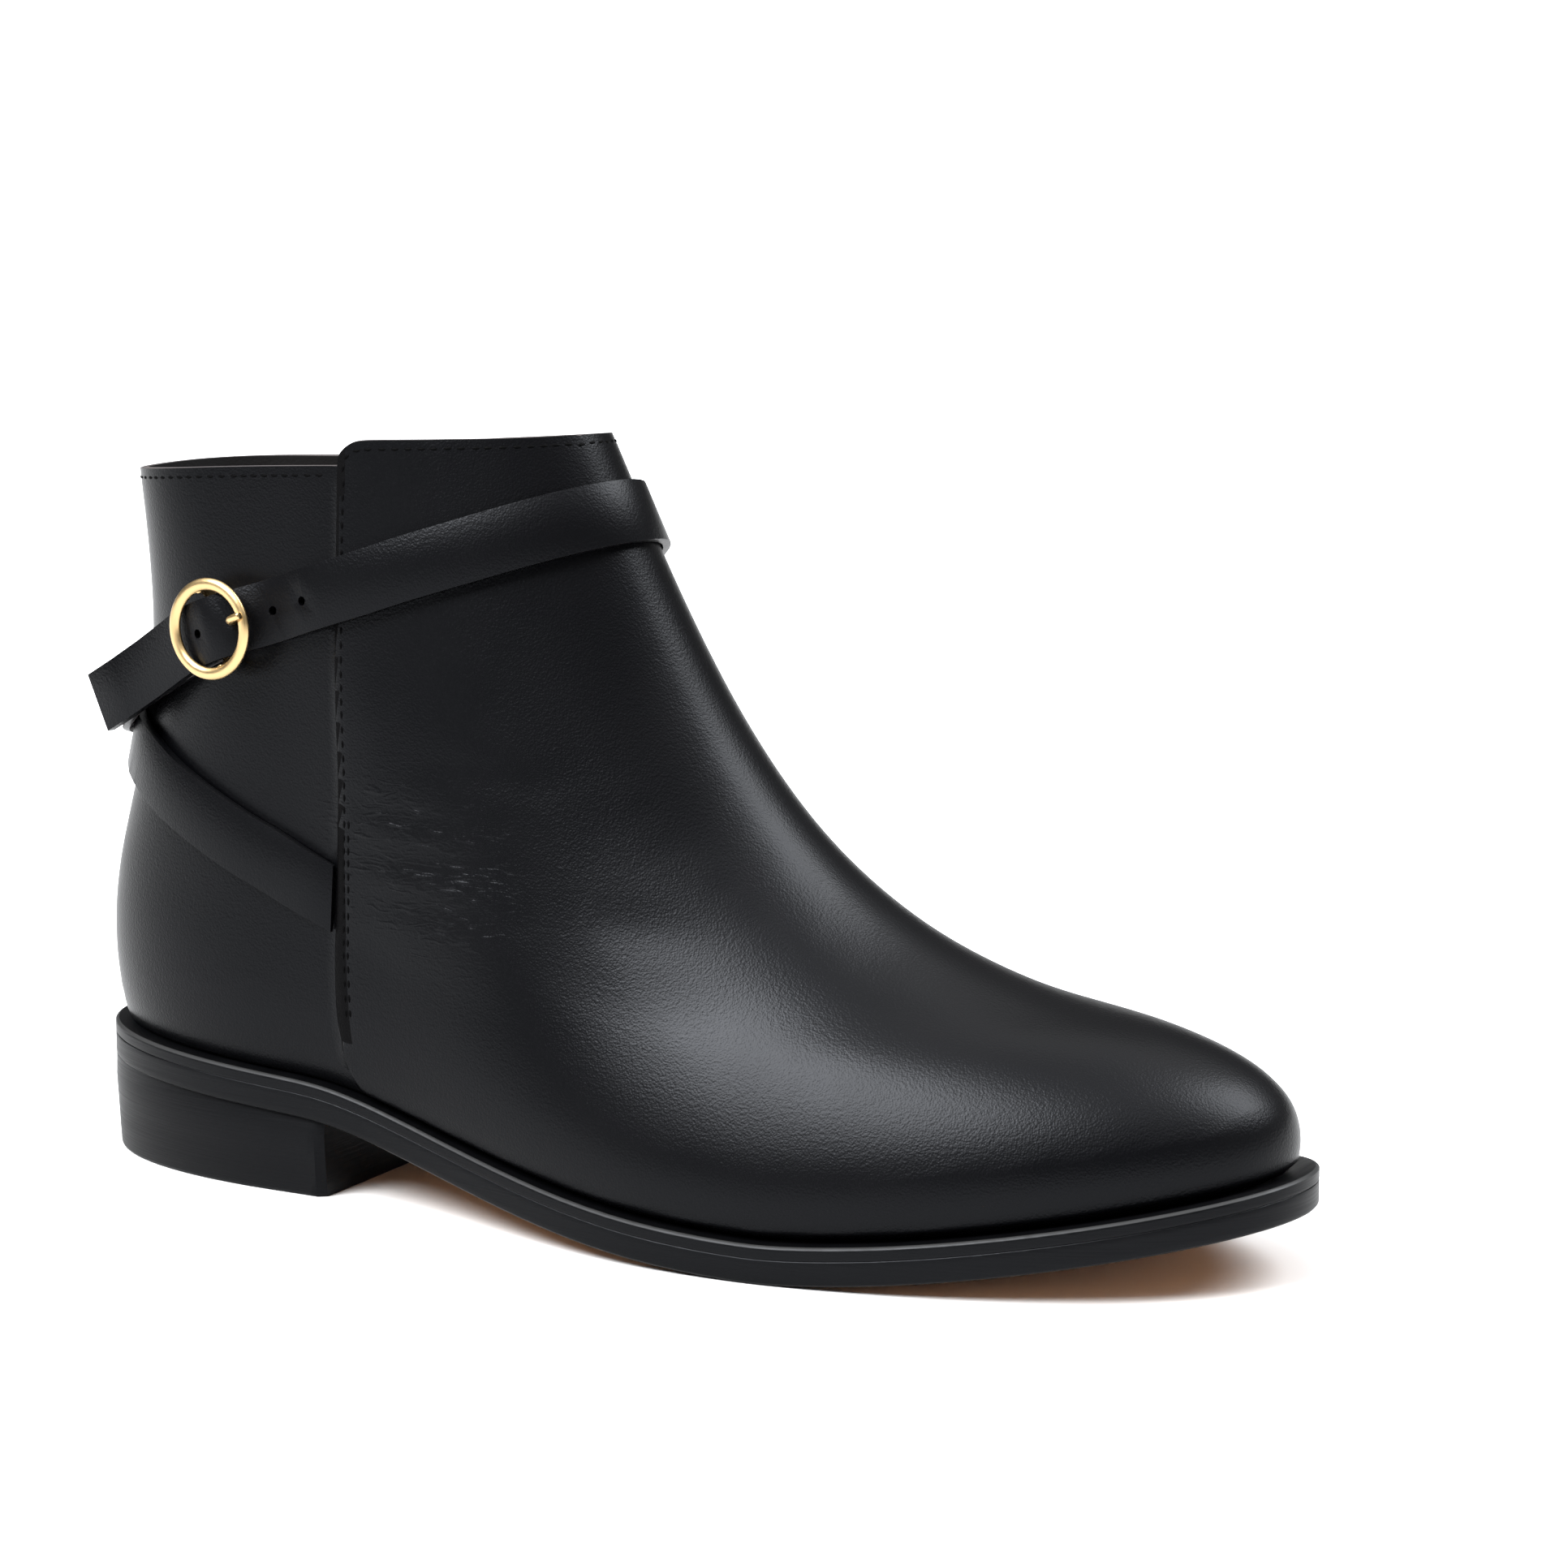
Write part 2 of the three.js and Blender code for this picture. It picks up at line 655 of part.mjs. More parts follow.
// The prong: an eye round the bar and an arm that rises through the strap to the ring.
function prongSolid(extra) {
  const eyeInner = barDiameter / 2 + buckleGap - extra;
  const eyeOuter = eyeInner + prongEye + 2 * extra;
  const eyeHalf = prongDiameter / 2 + extra;
  const profile = [[eyeInner, -eyeHalf], [eyeOuter, -eyeHalf], [eyeOuter, eyeHalf], [eyeInner, eyeHalf],
    [eyeInner, -eyeHalf]];
  const eye = new THREE.LatheGeometry(profile.map(([x, y]) => new THREE.Vector2(x, y)), 16);
  eye.applyMatrix4(new THREE.Matrix4().makeTranslation(0, 0, barHeight));
  const radius = prongDiameter / 2;
  const ringTop = ringRise + ringThickness / 2 - prongReach * Math.sin(THREE.MathUtils.degToRad(ringTilt));
  const route = new THREE.CatmullRomCurve3([
    new THREE.Vector3(barDiameter, 0, barHeight),
    new THREE.Vector3(prongHoleAt - radius, 0, barHeight + radius),
    new THREE.Vector3(prongHoleAt + 2 * radius, 0, ringTop),
    new THREE.Vector3(prongReach, 0, ringTop + 2 * buckleGap + radius),
    new THREE.Vector3(prongReach + radius, 0, ringTop + 2 * buckleGap + radius),
  ]);
  const section = new THREE.Shape();
  section.absarc(0, 0, radius + extra, 0, 2 * Math.PI);
  const arm = new THREE.ExtrudeGeometry(section, { steps: 10, curveSegments: 4, extrudePath: route });
  return toSolid(eye).add(toSolid(arm));
}

function makeAnkleStrap() {
  const stations = ankleStations();
  stations.push(...freeEnd(stations.at(-1)));
  let strap = toSolid(bandSolid(stations));
  for (const holes of [-1, 1, 2]) {
    const distance = prongHoleAt + holes * strapHoleSpacing;
    const ahead = ({ seat }) => seat.clone().sub(buckle.seat).dot(buckle.along) - distance;
    const nearest = stations.slice(ankleSteps / 2)
      .map((station) => ({ station, miss: ahead(station) }))
      .sort((a, b) => Math.abs(a.miss) - Math.abs(b.miss))[0];
    strap = strap.subtract(holeCutter(nearest.station, nearest.miss, strapThickness * 1.6));
  }
  const prong = prongSolid(buckleGap).transform(buckleMatrix.elements);
  return toGeometry(strap.subtract(prong));
}

// The buckle strap ends thinned and turned round the bar.
function chapeStations(last) {
  const wrap = barDiameter / 2 + buckleGap + chapeThickness / 2;
  const station = (along, out, angle) => ({
    foot: inBuckle(along, 0, out),
    across: buckle.across,
    normal: buckle.normal.clone().applyAxisAngle(buckle.across, -angle),
    thickness: chapeThickness,
    lifts: strapShares.map(() => -chapeThickness / 2),
  });
  const across = last.across.dot(buckle.across) > 0 ? buckle.across : buckle.across.clone().negate();
  const stations = [station(-chapeReach, fitGap + chapeThickness / 2, 0)];
  const bends = 6;
  for (let i = 0; i <= bends; i++) {
    const angle = (Math.PI * i) / bends;
    stations.push(station(wrap * Math.sin(angle), barHeight - wrap * Math.cos(angle), angle));
  }
  stations.push(station(-chapeReach * 0.75, barHeight + wrap - 0.35, Math.PI * 1.08));
  return stations.map((each) => ({ ...each, across }));
}

function makeBuckleStrap() {
  const steps = 52;
  const { end, first } = sewnEnd(buckleRows, steps);
  const stations = [end];
  for (let i = first; i <= steps; i++) {
    stations.push(strapStation(buckleRows, i / steps));
  }
  stations.push(...chapeStations(stations.at(-1)));
  const slotReach = barDiameter / 2 + prongEye + 2 * buckleGap;
  const slot = new THREE.BoxGeometry(2 * slotReach, prongDiameter + 3 * buckleGap, 2 * slotReach);
  slot.translate(0, 0, barHeight);
  const prongSlot = toSolid(slot).transform(buckleMatrix.elements);
  return toGeometry(toSolid(bandSolid(stations)).subtract(prongSlot));
}

// The buckle's frame: a round ring with a bar across it, set below the ring on two posts.
function makeBuckleFrame() {
  const profile = [];
  const sides = 8;
  for (let i = 0; i <= sides; i++) {
    const angle = (2 * Math.PI * i) / sides;
    profile.push(new THREE.Vector2(
      ringRadius + (ringBand / 2) * Math.cos(angle), (ringThickness / 2) * Math.sin(angle)));
  }
  profile[sides] = profile[0].clone();
  const ring = new THREE.LatheGeometry(profile, 40);
  ring.rotateX(Math.PI / 2);
  ring.rotateY(THREE.MathUtils.degToRad(ringTilt));
  ring.translate(0, 0, ringRise);
  let frame = toSolid(ring);
  const barHalf = ringRadius - 0.2;
  const bar = new THREE.CylinderGeometry(barDiameter / 2, barDiameter / 2, 2 * barHalf, 10);
  bar.translate(0, 0, barHeight);
  frame = frame.add(toSolid(bar));
  const postLength = ringRise - barHeight + barDiameter / 2;
  for (const side of [-1, 1]) {
    const post = new THREE.CylinderGeometry(barDiameter / 2, barDiameter / 2, postLength, 10);
    post.rotateX(Math.PI / 2);
    post.translate(0, side * (barHalf - barDiameter / 2), barHeight - barDiameter / 2 + postLength / 2);
    frame = frame.add(toSolid(post));
  }
  return toGeometry(frame.transform(buckleMatrix.elements));
}

function makeBuckleProng() {
  return toGeometry(prongSolid(0).transform(buckleMatrix.elements));
}

const materials = {
  calf: { color: 0x191a1d, roughness: 0.42, metalness: 0 },
  edge: { color: 0x141414, roughness: 0.5, metalness: 0 },
  insole: { color: 0x2a2826, roughness: 0.8, metalness: 0 },
  brass: { color: 0xd8bd86, roughness: 0.3, metalness: 1 },
};

const boot = new THREE.Group();
boot.position.x = -heelRestX;

function addPiece(name, geometry, material) {
  const mesh = new THREE.Mesh(geometry, new THREE.MeshStandardMaterial(materials[material]));
  mesh.name = name;
  boot.add(mesh);
}

addPiece('heel', makeHeel(), 'edge');
addPiece('outsole', makeOutsole(), 'edge');
addPiece('welt', makeWelt(), 'edge');
addPiece('insole', makeInsole(), 'insole');
addPiece('upper', makeUpper(), 'calf');
addPiece('ankle_strap', makeAnkleStrap(), 'calf');
addPiece('buckle_strap', makeBuckleStrap(), 'calf');
addPiece('buckle_frame', makeBuckleFrame(), 'brass');
addPiece('buckle_prong', makeBuckleProng(), 'brass');

const model = new THREE.Group();
model.add(boot);
export default model;
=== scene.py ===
"""A right jodhpur boot in black calf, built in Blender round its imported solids."""
import math

import bmesh
import bpy
from mathutils import Matrix, Vector
from mathutils.bvhtree import BVHTree


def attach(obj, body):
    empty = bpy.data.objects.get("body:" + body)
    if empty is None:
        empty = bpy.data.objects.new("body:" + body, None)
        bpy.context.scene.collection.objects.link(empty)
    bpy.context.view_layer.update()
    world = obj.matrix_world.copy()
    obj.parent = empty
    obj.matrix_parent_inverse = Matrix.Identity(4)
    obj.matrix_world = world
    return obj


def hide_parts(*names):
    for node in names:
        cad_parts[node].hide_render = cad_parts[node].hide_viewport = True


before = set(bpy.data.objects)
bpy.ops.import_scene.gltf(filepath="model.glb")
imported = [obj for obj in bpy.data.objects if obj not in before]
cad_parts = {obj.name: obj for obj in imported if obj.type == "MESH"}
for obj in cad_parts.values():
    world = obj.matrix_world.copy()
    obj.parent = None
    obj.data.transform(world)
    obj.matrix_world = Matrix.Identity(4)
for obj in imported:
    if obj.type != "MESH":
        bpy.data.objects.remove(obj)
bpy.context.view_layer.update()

# Camera: a long lens a little above the boot, in front of its outer side and towards the toe.
camera_turn = math.radians(28)
camera_rise = math.radians(10)
camera_distance = 0.9
camera_aim = Vector((0.1226, 0, 0.0878))
camera_back = Vector((
    math.sin(camera_turn) * math.cos(camera_rise),
    -math.cos(camera_turn) * math.cos(camera_rise),
    math.sin(camera_rise),
))
bpy.ops.object.camera_add(location=camera_aim + camera_distance * camera_back)
camera = bpy.context.object
camera.rotation_euler = (-camera_back).to_track_quat("-Z", "Y").to_euler()
camera.data.sensor_width = 36
camera.data.lens = 104.9
bpy.context.scene.camera = camera
bpy.context.scene.view_settings.view_transform = "Standard"

# Studio: a plain pale floor that runs on to the horizon, one broad soft light high on the heel's
# side, a weaker one beyond the toe, and a surrounding that is pale low down and overhead.
floor_size = 300
bpy.ops.mesh.primitive_plane_add(size=floor_size, location=(0, 0, 0))
floor = bpy.context.object
floor.name = "floor"
floor_paint = bpy.data.materials.new("pale floor")
floor_paint.use_nodes = True
floor_shader = floor_paint.node_tree.nodes["Principled BSDF"]
floor_shader.inputs["Base Color"].default_value = (0.55, 0.55, 0.55, 1)
floor_shader.inputs["Roughness"].default_value = 0.9
floor_shader.inputs["Specular IOR Level"].default_value = 0.1
floor.data.materials.append(floor_paint)

surrounding = bpy.data.worlds.new("studio")
bpy.context.scene.world = surrounding
surrounding.use_nodes = True
sky_nodes = surrounding.node_tree.nodes
sky_link = surrounding.node_tree.links.new
sky_height = sky_nodes.new("ShaderNodeSeparateXYZ")
sky_link(sky_nodes.new("ShaderNodeTexCoord").outputs["Generated"], sky_height.inputs["Vector"])
sky = sky_nodes.new("ShaderNodeValToRGB")
sky.color_ramp.elements.new(0.09)
sky.color_ramp.elements.new(0.55)
for stop, (height, brightness) in zip(
    sky.color_ramp.elements, ((0.03, 1), (0.08, 0.1), (0.55, 0.16), (0.9, 2.2)),
):
    stop.position = height
    stop.color = (brightness, brightness, brightness, 1)
sky_link(sky_height.outputs["Z"], sky.inputs["Fac"])
sky_link(sky.outputs["Color"], sky_nodes["Background"].inputs["Color"])

# Each light stands at a turn from straight out of the outer side (toe positive) and a height.
for name, turn, height, spread, strength, colour in (
    ("main light", -25, 50, 34, 8.9, (0.98, 0.99, 1)),
    ("toe light", 124, 50, 36, 5.0, (0.96, 0.98, 1)),
):
    turn, height = math.radians(turn), math.radians(height)
    level = math.cos(height)
    towards = Vector((math.sin(turn) * level, -math.cos(turn) * level, math.sin(height)))
    bpy.ops.object.light_add(type="SUN", location=2 * towards)
    light = bpy.context.object
    light.name = name
    light.rotation_euler = towards.to_track_quat("Z", "Y").to_euler()
    light.data.angle = math.radians(spread)
    light.data.energy = strength
    light.data.color = colour

# Upper: vamp and two quarters of smooth black calf over a thin dark lining, lasted to one shell.
# The vamp lies on the quarters at the side seams, its edge skived thin, and stands above them.
MM = 0.001
smooth_angle = math.radians(38)
cool_tint = (0.9, 0.93, 1, 1)


def work_on(piece):
    """Selects one piece alone and makes it the active one."""
    bpy.ops.object.select_all(action="DESELECT")
    piece.select_set(True)
    bpy.context.view_layer.objects.active = piece


def node_copy(node, name):
    """A copy of a solid's mesh under a new name, with its points merged and its faces made quads."""
    piece = bpy.data.objects.new(name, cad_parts[node].data.copy())
    bpy.context.scene.collection.objects.link(piece)
    piece.data.materials.clear()
    work_on(piece)
    bpy.ops.object.mode_set(mode="EDIT")
    bpy.ops.mesh.select_all(action="SELECT")
    bpy.ops.mesh.remove_doubles(threshold=0.002 * MM)
    bpy.ops.mesh.customdata_custom_splitnormals_clear()
    bpy.ops.mesh.tris_convert_to_quads(face_threshold=math.radians(50), shape_threshold=math.radians(180))
    bpy.ops.object.mode_set(mode="OBJECT")
    return piece


def crease_sharp(piece, sharp_angle, weight):
    """Holds the edges that turn more than an angle, so that smoothing leaves them crisp."""
    work_on(piece)
    bpy.ops.object.mode_set(mode="EDIT")
    bpy.ops.mesh.select_all(action="DESELECT")
    bpy.ops.mesh.select_mode(type="EDGE")
    bpy.ops.mesh.edges_select_sharp(sharpness=math.radians(sharp_angle))
    bpy.ops.transform.edge_crease(value=weight)
    bpy.ops.object.mode_set(mode="OBJECT")


def apply_smoothing(piece, levels):
    """Rounds a piece by subdivision, applied, and shades it smooth away from its edges."""
    work_on(piece)
    rounding = piece.modifiers.new("rounding", "SUBSURF")
    rounding.levels = levels
    rounding.render_levels = levels
    bpy.ops.object.modifier_apply(modifier=rounding.name)
    bpy.ops.object.shade_smooth_by_angle(angle=smooth_angle)


def start_material(name):
    """A new material with its nodes and its shader."""
    material = bpy.data.materials.new(name)
    material.use_nodes = True
    nodes = material.node_tree.nodes
    return material, nodes, nodes["Principled BSDF"]


def leather(name, colour, roughness, shine, grain_size, grain_depth, coat):
    """Calf with a fine pebbled grain, a slow change of gloss, and a thin waxed finish."""
    material, nodes, shader = start_material(name)
    link = material.node_tree.links.new
    place = nodes.new("ShaderNodeTexCoord").outputs["Object"]
    shader.inputs["Specular IOR Level"].default_value = shine
    shader.inputs["Specular Tint"].default_value = cool_tint
    shader.inputs["Coat Weight"].default_value = coat
    shader.inputs["Coat Roughness"].default_value = 0.3
    cells = nodes.new("ShaderNodeTexVoronoi")
    cells.feature = "SMOOTH_F1"
    cells.inputs["Scale"].default_value = 1 / (grain_size * MM)
    cells.inputs["Smoothness"].default_value = 0.6
    cells.inputs["Randomness"].default_value = 1
    pores = nodes.new("ShaderNodeTexNoise")
    pores.inputs["Scale"].default_value = 0.6 / (grain_size * MM)
    pores.inputs["Detail"].default_value = 4
    patches = nodes.new("ShaderNodeTexNoise")
    patches.inputs["Scale"].default_value = 28
    patches.inputs["Detail"].default_value = 3
    for pattern in (cells, pores, patches):
        link(place, pattern.inputs["Vector"])
    grain = nodes.new("ShaderNodeMath")
    grain.operation = "MULTIPLY_ADD"
    link(cells.outputs["Distance"], grain.inputs[0])
    grain.inputs[1].default_value = 0.7
    link(pores.outputs["Fac"], grain.inputs[2])
    relief = nodes.new("ShaderNodeBump")
    relief.inputs["Strength"].default_value = 1
    relief.inputs["Distance"].default_value = grain_depth * MM
    link(grain.outputs["Value"], relief.inputs["Height"])
    lie = nodes.new("ShaderNodeMapping")
    lie.inputs["Rotation"].default_value = (0, math.radians(8), 0)
    lie.inputs["Scale"].default_value = (220, 220, 850)
    link(place, lie.inputs["Vector"])
    wrinkles = nodes.new("ShaderNodeTexNoise")
    wrinkles.inputs["Scale"].default_value = 1
    wrinkles.noise_type = "RIDGED_MULTIFRACTAL"
    wrinkles.inputs["Detail"].default_value = 3
    wrinkles.inputs["Distortion"].default_value = 0.9
    link(lie.outputs["Vector"], wrinkles.inputs["Vector"])
    flexed = nodes.new("ShaderNodeAttribute")
    flexed.attribute_name = "flex"
    depth = nodes.new("ShaderNodeMath")
    depth.operation = "MULTIPLY"
    link(wrinkles.outputs["Fac"], depth.inputs[0])
    link(flexed.outputs["Fac"], depth.inputs[1])
    folds = nodes.new("ShaderNodeBump")
    folds.inputs["Strength"].default_value = 1
    folds.inputs["Distance"].default_value = 0.24 * MM
    link(depth.outputs["Value"], folds.inputs["Height"])
    link(folds.outputs["Normal"], relief.inputs["Normal"])
    link(relief.outputs["Normal"], shader.inputs["Normal"])
    gloss = nodes.new("ShaderNodeMapRange")
    gloss.inputs["To Min"].default_value = roughness - 0.06
    gloss.inputs["To Max"].default_value = roughness + 0.08
    link(patches.outputs["Fac"], gloss.inputs["Value"])
    link(gloss.outputs["Result"], shader.inputs["Roughness"])
    tone = nodes.new("ShaderNodeMix")
    tone.data_type = "RGBA"
    tone.inputs["A"].default_value = (*colour, 1)
    tone.inputs["B"].default_value = (colour[0] * 1.9, colour[1] * 1.5, colour[2] * 1.3, 1)
    link(patches.outputs["Fac"], tone.inputs["Factor"])
    link(tone.outputs["Result"], shader.inputs["Base Color"])
    return material


calf = leather("black calf", (0.0006, 0.0007, 0.001), 0.34, 0.1, 0.42, 0.05, 0.01)
lining = leather("dark lining", (0.003, 0.0029, 0.0028), 0.72, 0.15, 0.5, 0.04, 0)
raw_edge = leather("raw leather edge", (0.028, 0.028, 0.03), 0.7, 0.2, 0.3, 0.1, 0)
# Inked edge: the calf's black made matte, real edge ink and also painted shade along the seams.
inked_edge_and_seam_shade = leather("inked leather edge and painted seam shade", (0.0006, 0.0006, 0.0007), 0.6, 0.04, 0.3, 0.05, 0)

upper = node_copy("upper", "upper_calf")
for material in (calf, lining, raw_edge, inked_edge_and_seam_shade):
    upper.data.materials.append(material)
calf_slot, lining_slot, cut_slot, inked_shade_slot = range(4)

# Inner faces look across the hollow at another wall or at the insole. Near the collar they look
# a little downwards, so as not to miss a lower wall. The cut edges are the rim of the collar and
# the narrow faces between two sharp edges at the side seams.
wall_points = []
wall_faces = []
for node in ("upper", "insole"):
    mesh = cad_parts[node].data
    first = len(wall_points)
    wall_points.extend(vertex.co.copy() for vertex in mesh.vertices)
    wall_faces.extend([first + i for i in face.vertices] for face in mesh.polygons)
walls = BVHTree.FromPolygons(wall_points, wall_faces)
collar_height = 130 * MM
seam_foot = 34 * MM
seam_back = 25 * MM
shaft_axis = Vector((40, 0, 0)) * MM
across_the_boot = 250 * MM
off_the_face = 1.2 * MM
cut_angle = math.radians(40)
faces_up = 0.8
shell = bmesh.new()
shell.from_mesh(upper.data)
for face in shell.faces:
    middle = face.calc_center_median()
    sharp = [edge for edge in face.edges if edge.calc_face_angle(0) > cut_angle]
    between_cuts = any(not set(a.verts) & set(b.verts) for a in sharp for b in sharp)
    look = face.normal.copy()
    inward = shaft_axis - middle
    inward.z = 0
    if middle.z > collar_height - 30 * MM and look.dot(inward.normalized()) > 0.5:
        look.z = -0.2
    if face.normal.z > faces_up and middle.z > collar_height:
        face.material_index = cut_slot
    elif walls.ray_cast(middle + face.normal * off_the_face, look, across_the_boot)[0] is not None:
        face.material_index = lining_slot
    elif between_cuts and middle.z > seam_foot and middle.x > seam_back:
        face.material_index = cut_slot

# The vamp's edge is skived and inked: its last millimetre slopes down to the quarter. The ink's dark
# matte finish also stands as painted shade along the seam.
skived = 0.4 * MM
skived_faces = set()
skived_points = set()
for edge in shell.edges:
    sides = {face.material_index: face for face in edge.link_faces}
    if set(sides) != {calf_slot, cut_slot} or abs(sides[cut_slot].normal.z) > faces_up:
        continue
    if sides[calf_slot].calc_center_median().x > sides[cut_slot].calc_center_median().x:
        skived_faces.add(sides[calf_slot])
        skived_points.update(edge.verts)
for point in skived_points:
    slope = sum((face.normal for face in point.link_faces if face in skived_faces), Vector())
    point.co -= skived * slope.normalized()
for face in skived_faces:
    face.material_index = inked_shade_slot
shell.to_mesh(upper.data)
shell.free()
crease_sharp(upper, 30, 0.9)
apply_smoothing(upper, 2)

# Soft troughs pressed in where the boot flexes, and the closed seam down the centre of the back.
outer_points = {
    i for face in upper.data.polygons if face.material_index == calf_slot for i in face.vertices
}


def press_trough(start, end, width, depth):
    """A soft trough in the calf between two places, which dies out at both ends."""
    start, end = Vector(start) * MM, Vector(end) * MM
    reach = end - start
    for i in outer_points:
        vertex = upper.data.vertices[i]
        along = max(0, min(1, (vertex.co - start).dot(reach) / reach.length_squared))
        aside = (vertex.co - start - along * reach).length / (width * MM)
        if aside < 2.5:
            fall = math.exp(-aside * aside) * math.sin(math.pi * (0.04 + 0.92 * along)) ** 0.6
            vertex.co -= depth * MM * fall * vertex.normal


back_x = min(vertex.co.x for vertex in upper.data.vertices if vertex.co.z > collar_height) / MM
press_trough((back_x - 1, 0, 145), (back_x - 2, 0, 95), 1.1, 0.55)
for start, end, width, depth in (
    ((44, -33, 72), (76, -34, 72), 3.4, 0.45),
    ((43, -33, 82), (70, -32, 79), 2.6, 0.3),
    ((46, -33, 64), (82, -35, 62), 3.2, 0.3),
    ((58, -33, 92), (84, -27, 88), 3.0, 0.25),
    ((96, -31, 64), (124, -22, 58), 5.0, 0.35),
    ((43, 32, 72), (74, 32, 71), 3.4, 0.45),
    ((45, 32, 82), (70, 31, 80), 2.6, 0.3),
    ((48, 33, 63), (80, 33, 61), 3.2, 0.3),
    ((94, 30, 64), (122, 22, 59), 5.0, 0.35),
):
    press_trough(start, end, width, depth)

# Fine wrinkles lie over the same places, and fade out round them.
flex = upper.data.attributes.new("flex", "FLOAT", "POINT")
for centre, radius in (
    ((50, -33, 74), 26), ((64, -33, 67), 26), ((50, 32, 74), 26), ((64, 32, 67), 26),
):
    middle = Vector(centre) * MM
    for vertex, wrinkled in zip(upper.data.vertices, flex.data):
        near = 1 - (vertex.co - middle).length / (radius * MM)
        if near > 0:
            wrinkled.value = max(wrinkled.value, near * near * (3 - 2 * near))
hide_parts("upper")
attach(upper, "root")

# Stitching: rows of black waxed thread along the top lines and down both edges of the vamp.
# A second row locks the vamp's edge from the ends of the straps down to the welt.
stitch_pitch = 2.4
stitch_length = 1.8
stitch_width = 0.65
stitch_height = 0.34
first_row = 1.8
second_row = 3
collar_row = 1.9
row_foot = 38 * MM
second_row_top = 78 * MM
thread, thread_nodes, thread_shader = start_material("black waxed thread")
thread_shader.inputs["Base Color"].default_value = (0.0004, 0.0004, 0.0005, 1)
thread_shader.inputs["Roughness"].default_value = 0.6
thread_shader.inputs["Specular IOR Level"].default_value = 0.03
twist = thread_nodes.new("ShaderNodeTexNoise")
twist.inputs["Scale"].default_value = 2600
twist.inputs["Detail"].default_value = 2
thread.node_tree.links.new(
    thread_nodes.new("ShaderNodeTexCoord").outputs["Object"], twist.inputs["Vector"])
strands = thread_nodes.new("ShaderNodeBump")
strands.inputs["Strength"].default_value = 0.6
strands.inputs["Distance"].default_value = 0.05 * MM
thread.node_tree.links.new(twist.outputs["Fac"], strands.inputs["Height"])
thread.node_tree.links.new(strands.outputs["Normal"], thread_shader.inputs["Normal"])

bpy.ops.object.select_all(action="DESELECT")
bpy.ops.mesh.primitive_uv_sphere_add(segments=8, ring_count=6, radius=0.5, rotation=(0, math.pi / 2, 0))
stitch = bpy.context.object
bpy.ops.object.transform_apply(location=True, rotation=True, scale=True)
stitch.data.transform(Matrix.Diagonal((stitch_length * MM, stitch_width * MM, stitch_height * MM, 1)))
for vertex in stitch.data.vertices:
    vertex.co.z -= 0.25 * stitch_height * MM * (2 * vertex.co.x / (stitch_length * MM)) ** 2
stitch.data.materials.append(thread)


def chained(edges):
    """The places along connected edges, from the free end at the outer side to the other end."""
    beside = {}
    for edge in edges:
        for vertex in edge.verts:
            beside.setdefault(vertex, []).append(edge.other_vert(vertex))
    run = [min((vertex for vertex in beside if len(beside[vertex]) == 1), key=lambda v: v.co.y)]
    while True:
        onward = [vertex for vertex in beside[run[-1]] if vertex not in run[-2:]]
        if not onward:
            return [vertex.co.copy() for vertex in run]
        run.append(onward[0])


# Edges between calf and a cut edge: round the vamp's panel, and along the quarters' top line.
shell = bmesh.new()
shell.from_mesh(upper.data)
cut_lines = []
for edge in shell.edges:
    cut_side = [face for face in edge.link_faces if face.material_index == cut_slot]
    calf_side = [face for face in edge.link_faces if face.material_index in (calf_slot, inked_shade_slot)]
    if cut_side and calf_side:
        cut_lines.append((edge, cut_side[0], calf_side[0].calc_center_median()))
seam_x = max(cut.calc_center_median().x for edge, cut, calf_side in cut_lines
             if cut.normal.z < 0.5 and collar_height - 10 * MM < calf_side.z < collar_height)
panel_edges = []
quarter_edges = []
for edge, cut, calf_side in cut_lines:
    on_rim = cut.normal.z > faces_up
    upright = abs(edge.verts[0].co.z - edge.verts[1].co.z) > 0.4 * edge.calc_length()
    if on_rim and calf_side.x < seam_x - 0.5 * MM:
        quarter_edges.append(edge)
    elif on_rim or (upright and calf_side.x > cut.calc_center_median().x):
        panel_edges.append(edge)
panel_line = chained(panel_edges)
quarter_line = chained(quarter_edges)
calf_faces = [
    [vertex.index for vertex in face.verts]
    for face in shell.faces if face.material_index in (calf_slot, inked_shade_slot)
]
finished = BVHTree.FromPolygons([vertex.co for vertex in shell.verts], calf_faces)
shell.free()

# Away from the collar the cut edge is inked as well: near black in place of the raw edge's grey, partly
# ink and partly painted shade on the seam's step.
for face in upper.data.polygons:
    if face.material_index == cut_slot and face.normal.z < 0.5:
        face.material_index = inked_shade_slot


def stitch_row(line, inset, lowest=0, highest=1):
    """Stitches at an inset to the right of a cut edge's run, between two heights."""
    steps = []
    for a, b in zip(line, line[1:]):
        parts = max(1, round((b - a).length / (0.6 * MM)))
        steps.extend(a.lerp(b, k / parts) for k in range(parts))
    beside = []
    for before, here, after in zip(steps, steps[4:], steps[8:]):
        normal = finished.find_nearest(here)[1]
        inward = (after - before).cross(normal).normalized()
        beside.append(finished.find_nearest(here + inward * inset * MM)[:2])
    copies = []
    last, walked = beside[0][0], 0
    for (place, normal), (ahead, _) in zip(beside, beside[3:]):
        walked += (place - last).length
        last = place
        if walked < stitch_pitch * MM or not lowest < place.z < highest:
            continue
        walked = 0
        along = (ahead - place).normalized()
        across = normal.cross(along).normalized()
        turn = Matrix((along, across, along.cross(across))).transposed().to_4x4()
        mesh = stitch.data.copy()
        mesh.transform(Matrix.Translation(place) @ turn)
        copies.append(bpy.data.objects.new("stitch copy", mesh))
    return copies


